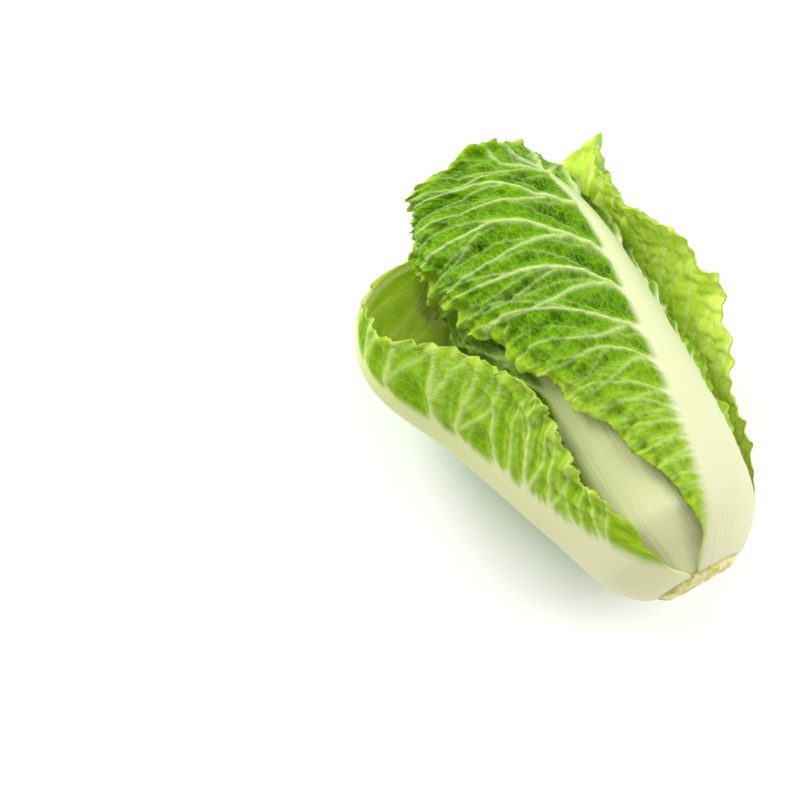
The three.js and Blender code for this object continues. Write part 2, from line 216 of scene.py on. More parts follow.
def swell(u, v, seed):
    """Soft hills between -1 and 1, about one unit apart."""
    total = np.zeros(u.shape)
    for k in range(4):
        turn = 2 * np.pi * jitter(k, seed, 5)
        total += np.sin(2 * np.pi * (u * math.cos(turn) + v * math.sin(turn)) + 6.3 * jitter(k, seed, 9))
    return total / 4


def side_veins(vein_rows, row, share, spacing, seed):
    """Height of the side veins, 1 on a vein at the midrib, and how deep in a hollow between two veins a
    point is. spacing is how many millimetres all the rows together are wide, across the vein."""
    height = np.zeros(row.shape)
    nearest = np.full(row.shape, 1.0)
    gaps = np.gradient(vein_rows)
    for k, (vein_row, gap) in enumerate(zip(vein_rows, gaps)):
        wander = VEIN_WANDER * gap * np.sin(2 * np.pi * (1.1 * share + jitter(k, seed, 2)))
        middle = vein_row + VEIN_SHIFT * gap * (jitter(k, seed, 3) - 0.5) + wander * ease(share, 0, 0.3)
        size = mix(0.5, 1, min(gap / WIDE_GAP, 1)) * mix(0.75, 1, jitter(k, seed, 8))
        for start, drift, strength in FORKS:
            begin = start * (0.6 + 0.8 * jitter(k, seed, 7 + start))
            reach = np.clip((share - begin) / FORK_SPREAD, 0, 1) if start else share
            line = middle + drift * gap * np.sin(0.5 * np.pi * reach)
            wide = mix(VEIN_FULL, VEIN_FINE, share ** VEIN_TAPER)
            wide = wide * (0.45 + 0.55 * strength) * mix(0.5, 1, size)
            ridge = strength * size * np.exp(-((row - line) * spacing / wide) ** 2) * (share >= begin)
            height = np.maximum(height, ridge)
            if strength > MAIN_FORK:
                away = np.abs(row - line) / (0.5 * gap)
                nearest = np.where(share >= begin, np.minimum(nearest, away), nearest)
    depth = np.interp(row, vein_rows, gaps) / WIDE_GAP
    return height, ease(nearest, 0.1, 1.0) * mix(0.35, 1, np.clip(depth, 0, 1))


print(len(VEIN_ROWS), "side veins on each half of a leaf, and", len(SPARSE_VEIN_ROWS), "on a paler one")

# %% [markdown]
# ## A leaf on the head
# The flat leaf is wrapped round the axis at its own layer. Layers lie tight at the foot and loosen above
# it, and the whole top of the head is pleated. A leaf that leans out may curl its tip back in.

# %% Layers, pleats and curls
TIGHT, LOOSE_AT = 0.15, 62  # share of its layer that a leaf has at the foot, and where it has all of it
PLEAT, PLEAT_FROM = 4.5, 195  # how deep the pleats are, and where along the head they start


def layer_at(layer, x):
    return layer * mix(TIGHT, 1, ease(x, 0, LOOSE_AT))


def pleat(azimuth, x, layer):
    depth = PLEAT * (HEAD_RADIUS + layer) / HEAD_RADIUS * ease(x, PLEAT_FROM, HEAD_LENGTH)
    broad = np.sin(5 * azimuth + 0.05 * layer + 0.6)
    narrow = np.sin(8 * azimuth - 0.04 * layer + 2.1)
    return depth * (broad + 0.5 * narrow)


def curl_in(leaf, x, r, ring):
    """A leaf that leans out curls its top back in over the head, where it stands free."""
    curl = leaf["curl"]
    angle = np.maximum(0, x - curl["from"]) / curl["radius"]
    free = ease(r - ring, 0.25 * curl["reach"], curl["reach"])
    over_x = np.minimum(x, curl["from"]) + curl["radius"] * np.sin(angle)
    return mix(x, over_x, free), r - free * curl["radius"] * (1 - np.cos(angle))


print("layer 8 at the foot and where it is loose:", layer_at(8, np.array([0, LOOSE_AT])), "mm")

# %% [markdown]
# ## The margin's lobes
# A cabbage margin is cut into round lobes with smaller ones on them. They could be a noise, but a noise
# makes saw teeth where the grid's rows are far apart. So they are counted off in millimetres along the
# margin.

# %% Lobes along the margin
BIG_LOBE, BIG_LOBE_DEPTH = 12, 3.2  # millimetres along the margin and out of it
SMALL_LOBE, SMALL_LOBE_DEPTH = 4.6, 1.5
LOBE_DRIFT = 0.4  # how unevenly the lobes follow each other, in lobes
NOTCH = 2  # millimetres that the notches cut into the plain margin
MARGIN_POINTS = 801  # points at which a margin is measured


def along_margin(leaf, half, row):
    """How far along the margin a row ends, in millimetres, and which way is outwards there."""
    rows = np.linspace(0, 1, MARGIN_POINTS)
    across, along = flat_leaf(leaf, half, rows, np.ones(rows.shape))
    step_x, step_y = np.gradient(across), np.gradient(along)
    step = np.maximum(np.hypot(step_x, step_y), 1e-9)
    return (np.interp(row, rows, values) for values in (np.cumsum(step), step_y / step, -step_x / step))


def margin_lobes(leaf, edge, row, share, seed):
    """How far the lobes stand out past the plain margin, in millimetres, edge being the way along it."""
    big = lobes(edge / BIG_LOBE + LOBE_DRIFT * ripple(edge / 19, seed + 4), seed)
    small = lobes(edge / SMALL_LOBE + LOBE_DRIFT * ripple(edge / 8, seed + 6), seed + 1)
    ragged = (BIG_LOBE_DEPTH * big + SMALL_LOBE_DEPTH * small - NOTCH) * ease(share, 0.72, 1) ** 1.5
    return ragged * (leaf.get("ragged", 1) * ease(row, 0.12, 0.3) * (1 - ease(row, 0.97, 1)))


print(f"lobes {BIG_LOBE} and {SMALL_LOBE} mm long")

# %% [markdown]
# ## One half of a leaf
# A leaf stands off the head where it leans out, its margin opens and waves, its veins are raised, and the
# blade between them sinks in, as on a leaf's back. The same numbers say how each vertex looks: how much
# it belongs to the pale midrib, to a vein, to a hollow or to the margin.

# %% Wrap half a leaf round the head
LEFT_SEED = 50  # added for the left half, so that the halves differ
RIB_BULGE, RIB_BULGE_AT = 0.22, 40  # share of its thickness that a midrib stands out, and from where
ROOT_BEND = 26  # millimetres over which an inner leaf bends from the stem out to its layer
FOOT_ROUND, FOOT_ROUND_TO = 9, 13  # how far the stalks draw in at the stem, and where that starts
BLADE, THIN_FOOT = 1.1, 25  # the blade's thickness, and how far up the stalk is thinned towards its foot
HILL, PUCKER, FINE_PUCKER = 46, 13, 7  # millimetres from one swelling of the blade to the next
VEIN_RISE, HOLLOW, HILL_RISE = 2.4, 2.8, 1.2  # millimetres that veins rise, hollows sink and hills swell
CRIMP, CRIMP_LENGTH = 0.34, 14  # the margin's small crimps: share of its wave, and millimetres along it


def veins_of_half(leaf, half, row, share, across, along, spacing, seed):
    """Side veins and hollows of a half. On a leaf with a fan they rise more steeply than its rows do."""
    if "fan" in leaf:
        rise = leaf["fan"] * across * (1 - across / (3 * half["width"]))
        length = leaf["tip"] - leaf["base"]
        rows, roots = np.array(ROW_ROOT).T
        row = np.interp((along - rise - leaf["base"]) / length, roots, rows)
        share = np.minimum(across / half["width"], 1)
        spacing = FAN_SPACING * length
    return side_veins(leaf.get("veins", VEIN_ROWS), row, share, spacing, seed)


def half_leaf(leaf, side, row, share, spacing):
    """Places, thickness, maps and looks of half a leaf; side is -1 for the left half, 1 for the right."""
    half = leaf["left"] if side < 0 else leaf["right"]
    seed = leaf["seed"] + (LEFT_SEED if side < 0 else 0)
    across, along = flat_leaf(leaf, half, row, share)
    edge, out_x, out_y = along_margin(leaf, half, row)
    ragged = margin_lobes(leaf, edge, row, share, seed)
    across, along = across + ragged * out_x, along + ragged * out_y
    up = np.clip((along - leaf["base"]) / (leaf["tip"] - leaf["base"]), 0, 1)
    rib = across / rib_half_width(leaf, along)
    to_margin = across / half["width"]

    # The blade's relief: veins, hollows, puckers and hills
    veins, hollow = veins_of_half(leaf, half, row, share, across, along, spacing, seed)
    veins = veins * ease(rib, 0.6, 1.0) * ease(row, 0.03, 0.16)
    hills = swell(across / HILL, along / HILL, seed)
    pucker = swell(across / PUCKER, along / PUCKER, seed + 1)
    pucker = pucker + 0.5 * swell(across / FINE_PUCKER, along / FINE_PUCKER, seed + 2)
    fine = leaf["relief"] * ease(rib, 0.8, 1.6)
    raised = VEIN_RISE * veins * mix(1, 0.5, share)
    sunk = HOLLOW * hollow * mix(1, 0.6, share)
    relief = fine * (raised - sunk + pucker * mix(1.2, 3.0, ease(share, 0.5, 1)))

    # The margin's waves and crimps, and the midrib's bulge
    wave = half.get("wave", leaf["wave"]) * ease(row, 0.1, 0.4)
    frill = ease(share, 0.55, 1) * (0.5 - 0.5 * margin_wave(row)) * (0.8 + 0.5 * ripple(row * 12, seed))
    crimp_wave = np.sin(2 * np.pi * (edge / CRIMP_LENGTH + 0.7 * ripple(edge / 26, seed + 3)))
    crimp = leaf.get("crimp", 1) * CRIMP * ease(share, 0.8, 1) * crimp_wave
    bulge = RIB_BULGE * leaf["rib"] * np.maximum(0, 1 - rib ** 2)
    bulge *= ease(along, leaf["base"], leaf["base"] + RIB_BULGE_AT)

    # How far the half leans and opens
    lean = through(leaf["lean"], along) if "lean" in leaf else np.zeros(row.shape)
    held = 1 - half.get("drop", 0) * ease(to_margin, 0.05, 0.95)
    opening = 0.0
    if "open" in half:
        opening = through(half["open"], along) * ease(to_margin, 0.1, 1) ** 1.3
    stand_off = lean * held + opening + bulge + relief + wave * (frill + crimp) + HILL_RISE * fine * hills

    # The layer it lies on, from the stem outwards
    ring = head_radius(along) + layer_at(leaf["layer"], along)
    if "root" in leaf:
        bend_end = leaf["base"] + leaf.get("bend", ROOT_BEND)
        ring = mix(leaf["root"], ring, ease(along, leaf["base"], bend_end))
    low = np.clip(1 - along / FOOT_ROUND_TO, 0, 1)
    foot_round = FOOT_ROUND * (1 - np.sqrt(1 - low ** 2))
    turn = through(leaf["turn"], along) if "turn" in leaf else 0.0
    azimuth = np.radians(leaf["azimuth"] + turn) + side * across / (ring + lean / 2)
    r = ring + stand_off - foot_round + pleat(azimuth, along, leaf["layer"])
    x = along
    if "curl" in leaf:
        x, r = curl_in(leaf, along, r, ring)
    place = np.stack([x, -r * np.sin(azimuth), r * np.cos(azimuth)], axis=-1)

    # Thickness, and what the materials read
    at_foot = mix(0.7, 1, ease(along, leaf["base"], leaf["base"] + THIN_FOOT))
    stalk_depth = leaf["rib"] * (1 - up) ** 0.9 * at_foot
    depth = BLADE + stalk_depth * (1 - ease(rib, 0.35, 1.15))
    tip_fade = 1 - leaf.get("tip_fade", 0.6) * ease(up, 0.7, 1)
    vein_root = 0.45 * veins * mix(0.4, 1, ease(row, 0.15, 0.4))
    # painted shading: darker in the hollows as painted shade, lighter on the hills and puckers as painted
    # light, and a little lighter beside the midrib
    painted_shading_and_tone = 0.7 - 0.56 * hollow + 0.1 * hills + 0.2 * pucker + 0.2 * (1 - ease(rib, 1, 3))
    looks = {
        "pale": (1 - ease(rib - vein_root, 0.8, 1.15)) * tip_fade,
        "vein": veins ** 1.25 * mix(1, 0.75, share) * ease(rib, 0.6, 1.0),
        "painted_shading_and_tone": np.clip(painted_shading_and_tone, 0, 1),
        # paler margin: the leaf's own paler edge, and painted glow of light through the thin blade there
        "margin": ease(share, 0.86, 1) * ease(row, 0.1, 0.3),
        "height": up,
    }
    flat = np.stack([side * across, along], axis=-1) * MM
    net = np.stack([side * across, (along - 0.4 * across) / NET_STRETCH], axis=-1) / NET_CELL
    return place, depth, {"flat": flat, "net": net}, looks


print("veins rise", VEIN_RISE, "mm and hollows sink", HOLLOW, "mm on a leaf of full relief")

# %% [markdown]
# ## Growing one leaf
# The blank is a unit grid. Its x becomes the signed share and its y the row, and every vertex is moved to
# its place on the head. The two halves of the last row meet, so they are merged. Solidify then gives the
# sheet its thickness from a vertex group, thick in the midrib and thin in the blade, and paints the inner
# side with the leaf's second material.

# %% The blank
LOOKS = ("pale", "vein", "painted_shading_and_tone", "margin", "height")  # what half_leaf says of every vertex
TINY = 1e-6


def leaf_blank(name, rows, columns):
    """A flat grid with two halves of so many columns, and the row and signed share of its vertices."""
    bpy.ops.object.select_all(action="DESELECT")
    bpy.ops.mesh.primitive_grid_add(x_subdivisions=2 * columns, y_subdivisions=rows, size=1)
    blank = bpy.context.object
    blank.name = blank.data.name = name
    places = np.empty(len(blank.data.vertices) * 3)
    blank.data.vertices.foreach_get("co", places)
    places = places.reshape(-1, 3)
    share = np.round((places[:, 0] + 0.5) * 2 * columns) / columns - 1
    row = np.round((places[:, 1] + 0.5) * rows) / rows
    return blank, row, share


def row_spacing(leaf, half, row, share):
    """Millimetres that all the rows together are wide there, measured across the vein."""
    step = 0.004
    low, high = np.maximum(row - step, 0), np.minimum(row + step, 1)
    across_low, along_low = flat_leaf(leaf, half, low, share)
    across_high, along_high = flat_leaf(leaf, half, high, share)
    in_share, out_share = np.maximum(share - step, 0), np.minimum(share + step, 1)
    across_in, along_in = flat_leaf(leaf, half, row, in_share)
    across_out, along_out = flat_leaf(leaf, half, row, out_share)
    vein_x, vein_y = across_out - across_in, along_out - along_in
    area = np.abs((across_high - across_low) * vein_y - (along_high - along_low) * vein_x)
    return area / np.maximum(np.hypot(vein_x, vein_y), TINY) / np.maximum(high - low, TINY)


print("looks stored on every leaf:", LOOKS)


# %% Close the tip and thicken
def close_tip(blank):
    """Merges the two halves of the last row and turns the faces away from the head's axis."""
    bpy.ops.object.mode_set(mode="EDIT")
    bpy.ops.mesh.select_all(action="SELECT")
    bpy.ops.mesh.remove_doubles(threshold=TINY)
    bpy.ops.object.mode_set(mode="OBJECT")
    mesh = blank.data
    normals = np.empty(len(mesh.polygons) * 3)
    centers = np.empty(len(mesh.polygons) * 3)
    mesh.polygons.foreach_get("normal", normals)
    mesh.polygons.foreach_get("center", centers)
    outwards = centers.reshape(-1, 3) - axis_foot * MM
    outwards[:, 0] = 0
    if (normals.reshape(-1, 3) * outwards).sum() < 0:
        bpy.ops.object.mode_set(mode="EDIT")
        bpy.ops.mesh.flip_normals()
        bpy.ops.object.mode_set(mode="OBJECT")


def thicken(blank, thickest):
    """Gives the sheet its thickness inwards; its second material goes on the inner side."""
    for _ in ("back", "face"):
        blank.data.materials.append(None)
    wall = blank.modifiers.new("leaf tissue", "SOLIDIFY")
    wall.thickness = thickest * MM
    wall.vertex_group = "thickness"
    wall.offset = -1
    wall.material_offset = 1
    bpy.ops.object.modifier_apply(modifier=wall.name)
    bpy.ops.object.shade_smooth()


# %% Grow a leaf
def grow(leaf, name):
    """One leaf as a solid object with its looks stored on its vertices."""
    blank, row, share = leaf_blank(name, leaf["rows"], leaf["columns"])
    count = len(row)
    place, depth = np.zeros((count, 3)), np.zeros(count)
    maps = {"flat": np.zeros((count, 2)), "net": np.zeros((count, 2))}
    looks = {key: np.zeros(count) for key in LOOKS}
    for side in (-1, 1):
        mine = share < 0 if side < 0 else share >= 0
        half = leaf["left"] if side < 0 else leaf["right"]
        rows, shares = row[mine], np.abs(share[mine])
        spacing = row_spacing(leaf, half, rows, shares)
        place[mine], depth[mine], mapped, seen = half_leaf(leaf, side, rows, shares, spacing)
        for key, values in mapped.items():
            maps[key][mine] = values
        for key, values in seen.items():
            looks[key][mine] = values
    last = row > 1 - TINY
    for j in np.nonzero(last & (share < 0))[0]:
        twin = np.nonzero(last & (np.abs(share + share[j]) < TINY))[0][0]
        place[j], depth[j] = place[twin], depth[twin]
    place += axis_foot
    place[:, 2] = np.maximum(place[:, 2], 0.0)
    mesh = blank.data
    mesh.vertices.foreach_set("co", (place * MM).ravel())
    for key, values in looks.items():
        mesh.attributes.new(key, "FLOAT", "POINT").data.foreach_set("value", values.astype(np.float32))
    corners = np.empty(len(mesh.loops), dtype=np.int32)
    mesh.loops.foreach_get("vertex_index", corners)
    mesh.uv_layers[0].name = "flat"
    mesh.uv_layers.new(name="net")
    for key, values in maps.items():
        mesh.uv_layers[key].data.foreach_set("uv", values[corners].ravel().astype(np.float32))
    group = blank.vertex_groups.new(name="thickness")
    thickest = depth.max()
    levels = np.round(depth / thickest, 2)
    for level in np.unique(levels):
        group.add([int(j) for j in np.nonzero(levels == level)[0]], float(level), "REPLACE")
    close_tip(blank)
    thicken(blank, thickest)
    return blank


# %% [markdown]
# ## The outer leaves
# Each leaf is a short list of facts: where it sits in the spiral, its layer, its length and midrib, and
# how its halves spread, lean and curl. turn, lean and open are pairs: millimetres from the foot, and what
# the leaf does there. lower and upper are pairs of a row and the share of the half's width that it has.
# The leaves that show get the finest grids.

# %% The five outer leaves
OUTER_LEAVES = {
    "leaf_front": dict(
        azimuth=48, turn=[(0, -8), (45, -4), (140, 0), (254, 7)], layer=0, base=0, tip=HEAD_LENGTH,
        stalk=30, foot=0.98, taper=0.88, rib=7, relief=1.3, wave=4, seed=1, rows=290, columns=80,
        left=dict(
            width=136, lower=[(0, 0), (0.08, 0.03), (0.2, 0.25), (0.36, 0.56), (0.54, 0.91), (0.68, 1)],
        ),
        right=dict(width=74),
    ),
    "leaf_under": dict(
        azimuth=-21, layer=-8, base=2, root=33, bend=42, tip=262, stalk=29, foot=0.62, rib=6, relief=0.6,
        wave=1, seed=2, rows=160, columns=60, left=dict(width=80), right=dict(width=88),
    ),
    "leaf_left": dict(
        azimuth=-90, turn=[(0, 22), (30, 14), (70, 3), (120, 0)], layer=1, base=0, tip=276,
        stalk=32, foot=0.95, rib=6, relief=0.9, wave=5, seed=3,
        lean=[(0, 0), (40, -3), (85, 7), (140, 25), (185, 46), (212, 51), (240, 45), (276, 28)],
        curl={"from": 238, "radius": 19, "reach": 26}, fan=1.3, veins=SPARSE_VEIN_ROWS, taper=1.35,
        rib_tip=5, tip_fade=0, rows=300, columns=70,
        left=dict(width=76, drop=1, wave=2.5, lower=BROAD_WIDTH),
        right=dict(
            width=74, drop=1, shoulder=0.5,
            lower=[(0, 0), (0.08, 0.08), (0.2, 0.46), (0.36, 0.67), (0.54, 0.96), (0.68, 1)],
            upper=[(0.68, 1), (0.75, 0.72), (0.82, 0.32), (0.93, 0.16), (1, 0)],
        ),
    ),
    "leaf_right": dict(
        azimuth=122, layer=8, base=0, tip=278, stalk=27, foot=0.66, rib=6, relief=0.9, wave=5, seed=4,
        lean=[(0, 0), (225, 0), (252, 5), (278, 22)],
        fan=1.0, veins=SPARSE_VEIN_ROWS, ragged=0.5, crimp=0.4, rows=300, columns=60,
        left=dict(
            width=78, lower=[(0, 0), (0.08, 0), (0.2, 0.28), (0.36, 0.64), (0.54, 0.94), (0.68, 1)],
            open=[(40, 0), (79, 8), (113, 20), (140, 29), (191, 21), (215, 9), (240, 8), (282, 18)],
        ),
        right=dict(width=50, drop=1, wave=1, lower=WINGED_WIDTH),
    ),
    "leaf_table": dict(
        azimuth=184, layer=13, base=0, tip=284, stalk=29, foot=1, rib=7, relief=0.8, wave=3, seed=5,
        rows=150, columns=50, left=dict(width=58, shoulder=0.7, lower=BROAD_WIDTH),
        right=dict(width=66, lower=BROAD_WIDTH),
    ),
}
outer_pieces = {}
for node, leaf in OUTER_LEAVES.items():
    piece = grow(leaf, node.split("_")[1] + "_leaf")
    outer_pieces[node] = piece
    print(piece.name, len(piece.data.polygons), "faces")

# %% [markdown]
# ## The inner leaves
# Five more leaves follow the spiral inwards, each a layer closer to the axis and a little shorter. Only
# their tops show, so their grids are coarser and their veins flatter.

# %% The five inner leaves
INNER_LEAVES, INNER_LAYER, LAYER_GAP, INNER_RIB = 5, -18, 4.8, 1.6
SPIRAL = -144  # degrees from one leaf of the spiral to the next


def inner_leaf(k):
    half = dict(width=80 - 5 * k, lower=WINGED_WIDTH)
    return dict(
        azimuth=14 + SPIRAL * k, layer=INNER_LAYER - LAYER_GAP * k, base=12 + 4 * k,
        root=STEM_NECK + INNER_RIB + 3, tip=276 - 12 * k, stalk=27, foot=0.78, rib=INNER_RIB, relief=0.25,
        wave=0.5, seed=10 + k, rows=120, columns=40, left=half, right=half,
    )


inner_pieces = {}
for k in range(INNER_LEAVES):
    node = f"leaf_inner_{k + 1}"
    inner_pieces[node] = grow(inner_leaf(k), f"inner_leaf_{k + 1}")
    print(inner_pieces[node].name, len(inner_pieces[node].data.polygons), "faces")

# %% [markdown]
# ## The heart and the stem
# Both are round about the axis, so an outline is drawn as a chain of vertices and spun round it.
# The heart's youngest leaves are grown like the others and joined to its core. The stem was cut with a
# knife and has dried, so its scar is lumpy and crumbled. Its neck fills the gaps between the leaves' feet.

# %% Spin an outline round the axis
def spin_round(name, outline, steps):
    """A closed solid of revolution; outline holds (radius, distance along the axis) in millimetres."""
    bpy.ops.object.select_all(action="DESELECT")
    bpy.ops.mesh.primitive_plane_add(size=1)
    solid = bpy.context.object
    solid.name = solid.data.name = name
    bpy.ops.object.mode_set(mode="EDIT")
    bpy.ops.mesh.select_all(action="SELECT")
    bpy.ops.mesh.merge(type="CENTER")
    start = (axis_foot + (outline[0][1], 0, outline[0][0])) * MM
    bpy.ops.transform.translate(value=start)
    for (radius, x), (next_radius, next_x) in zip(outline, outline[1:]):
        step = np.array((next_x - x, 0, next_radius - radius)) * MM
        bpy.ops.mesh.extrude_region_move(TRANSFORM_OT_translate={"value": step})
    bpy.ops.mesh.select_all(action="SELECT")
    bpy.ops.mesh.spin(steps=steps, angle=2 * math.pi, center=axis_foot * MM, axis=(1, 0, 0))
    bpy.ops.mesh.select_all(action="SELECT")
    bpy.ops.mesh.remove_doubles(threshold=1e-5)
    bpy.ops.mesh.normals_make_consistent(inside=False)
    bpy.ops.object.mode_set(mode="OBJECT")
    bpy.ops.object.shade_smooth()
    solid.data.materials.append(None)
    return solid


# %% The heart
HEART_LEAVES, HEART_GAP = 3, 3
HEART_LAYER = INNER_LAYER - LAYER_GAP * INNER_LEAVES + 0.5
CORE_LAYER = HEART_LAYER - HEART_GAP * HEART_LEAVES - 0.5
CORE_FOOT, CORE_TOP, CORE_TIP = 48, 216, 4  # where the core starts and ends, and its tip's height
CORE_RINGS, CORE_STEPS = 28, 48
BUD_FROM, BUD_FOLDS, BUD_TWIST = 170, 3, 0.06  # the core's top is a bud, folded like a rose
BUD_FOLD_DEPTH, BUD_FOLD_SINK = 0.45, 10  # a fold draws in by this share, and sinks by these millimetres


def core_radius(x):
    return float(head_radius(np.array([x]))[0]) + CORE_LAYER


def heart_leaf(k):
    base = 80 + 8 * k
    half = dict(width=40 - 3 * k)
    return dict(
        azimuth=50 + SPIRAL * k, layer=HEART_LAYER - HEART_GAP * k, base=base, root=core_radius(base) - 2,
        tip=244 - 8 * k, stalk=12, rib=1, relief=0.15, wave=0.6, seed=20 + k, rows=90, columns=24,
        left=half, right=half,
    )


core_xs = np.linspace(CORE_FOOT, CORE_TOP, CORE_RINGS)
core_outline = [(0.0, CORE_FOOT)] + [(core_radius(x), x) for x in core_xs] + [(0.0, CORE_TOP + CORE_TIP)]
heart = spin_round("heart_leaves", core_outline, CORE_STEPS)
for vertex in heart.data.vertices:
    x, y, z = np.array(vertex.co) / MM - axis_foot
    around = math.atan2(y, z)
    ridge = 0.5 + 0.5 * math.sin(BUD_FOLDS * around + BUD_TWIST * x)
    fold = float(ease(x, BUD_FROM, CORE_TOP)) * ridge
    narrow = 1 - BUD_FOLD_DEPTH * fold
    vertex.co = (axis_foot + np.array((x - BUD_FOLD_SINK * fold, y * narrow, z * narrow))) * MM
young = [grow(heart_leaf(k), f"young_leaf_{k}") for k in range(HEART_LEAVES)]
print("heart core", len(heart.data.polygons), "faces, and", len(young), "young leaves")

# %% The cut stem
SCAR = 0.84 * STEM_RADIUS  # the stem's scar, inside the rounded feet of the leaves
STEM_STEPS = 120
LUMP, LUMP_RISE, LUMP_SPREAD, LUMP_SEED = 13, 1.3, 0.07, 31  # lumps of the scar, millimetres apart
FRAY, FRAY_RISE, FRAY_SPREAD, FRAY_SEED = 5, 0.7, 0.05, 32  # and the crumbs on them
SCAR_TO = 1  # millimetres along the axis that the scar is lumpy
CUT_FACE = [(share * SCAR, -3.4) for share in (0, 0.1, 0.2, 0.3, 0.4, 0.5, 0.6, 0.7, 0.8, 0.87)]
STEM_OUTLINE = CUT_FACE + [
    (0.93 * SCAR, -3.1), (0.97 * SCAR, -2.5), (SCAR, -1.6), (SCAR, -0.6), (SCAR, 0.6), (1.02 * SCAR, 2),
    (1.09 * SCAR, 4), (1.12 * SCAR, 7), (1.11 * SCAR, 14), (1.04 * SCAR, 36), (0.6 * SCAR, 45), (0.0, 46),
]
stem = spin_round("cut_stem", STEM_OUTLINE, STEM_STEPS)
for vertex in stem.data.vertices:
    x, y, z = np.array(vertex.co) / MM - axis_foot
    if x < SCAR_TO:
        lump = float(swell(np.array([y / LUMP]), np.array([z / LUMP]), LUMP_SEED)[0])
        fray = float(swell(np.array([y / FRAY]), np.array([z / FRAY]), FRAY_SEED)[0])
        spread = 1 + LUMP_SPREAD * lump + FRAY_SPREAD * fray
        rise = LUMP_RISE * lump + FRAY_RISE * fray
        vertex.co = (axis_foot + np.array((x + rise, y * spread, z * spread))) * MM
print("cut stem", len(stem.data.polygons), "faces")

# %% [markdown]
# ## Materials
# Fresh leaf is waxy and lets a little light through: soft highlights, and green that glows where it is
# thin. The midrib is pale and watery, with fine strands along it. Colours are given as they look on screen
# and turned to linear by one function.

# %% Material helpers
def linear(hex_colour):
    """An sRGB hex colour as the linear colour that shaders use."""
    channels = [int(hex_colour[i:i + 2], 16) / 255 for i in (1, 3, 5)]
    return tuple(c / 12.92 if c <= 0.04045 else ((c + 0.055) / 1.055) ** 2.4 for c in channels) + (1.0,)


def add_node(tree, kind, inputs=(), **settings):
    """Adds a node with its settings; inputs pairs a socket's name or number with a value or a socket."""
    node = tree.nodes.new(kind)
    for name, value in settings.items():
        setattr(node, name, value)
    for socket, value in inputs:
        if isinstance(value, bpy.types.NodeSocket):
            tree.links.new(value, node.inputs[socket])
        else:
            node.inputs[socket].default_value = value
    return node


def new_material(name):
    material = bpy.data.materials.new(name)
    material.use_nodes = True
    material.node_tree.nodes.clear()
    return material, material.node_tree


COLOUR_A, COLOUR_B, COLOUR_OUT = 6, 7, 2  # sockets of a Mix node that mixes colours


def coats(tree, ground, layers):
    """Lays coats of colour over a ground; each is a pair of how much it covers and its colour."""
    for cover, colour in layers:
        sockets = [(0, cover), (COLOUR_A, ground), (COLOUR_B, colour)]
        ground = add_node(tree, "ShaderNodeMix", sockets, data_type="RGBA").outputs[COLOUR_OUT]
    return ground


print("mid grey on screen is", round(linear("#808080")[0], 3), "in linear light")

# %% [markdown]
# ## Leaf tissue
# The blade is dark green in the hollows, which is painted shade, and lighter on the hills, which is
# painted light. It is paler towards the foot, and paler towards the margin, partly its own colour and
# partly a painted glow of light through the thin edge. The net's small veins, the side veins and last the
# midrib are coats of paler colour over it. Each cell of the net is puckered, which a bump gives more
# cheaply than vertices could. The wax on the skin gives a soft, weak gloss, and a thin young blade lets
# light through, which subsurface scattering gives.

# %% Leaf tissue
BLOTCH = 9  # millimetres across a blotch of lighter or darker green
STRAND = 2.6  # millimetres between the stalk's strands
STRAND_SCALE = (1.0, 0.04, 1.0)  # 0.04 along the stalk draws the strands out to 25 times their width
NETS = ((1.0, 0.13, 0.5), (2.3, 0.17, 0.3))  # a coarse and a fine net: scale, width of lines, strength
NET_WARP = (0.5, 0.5, 0.0)  # how far the net is bent, in cells


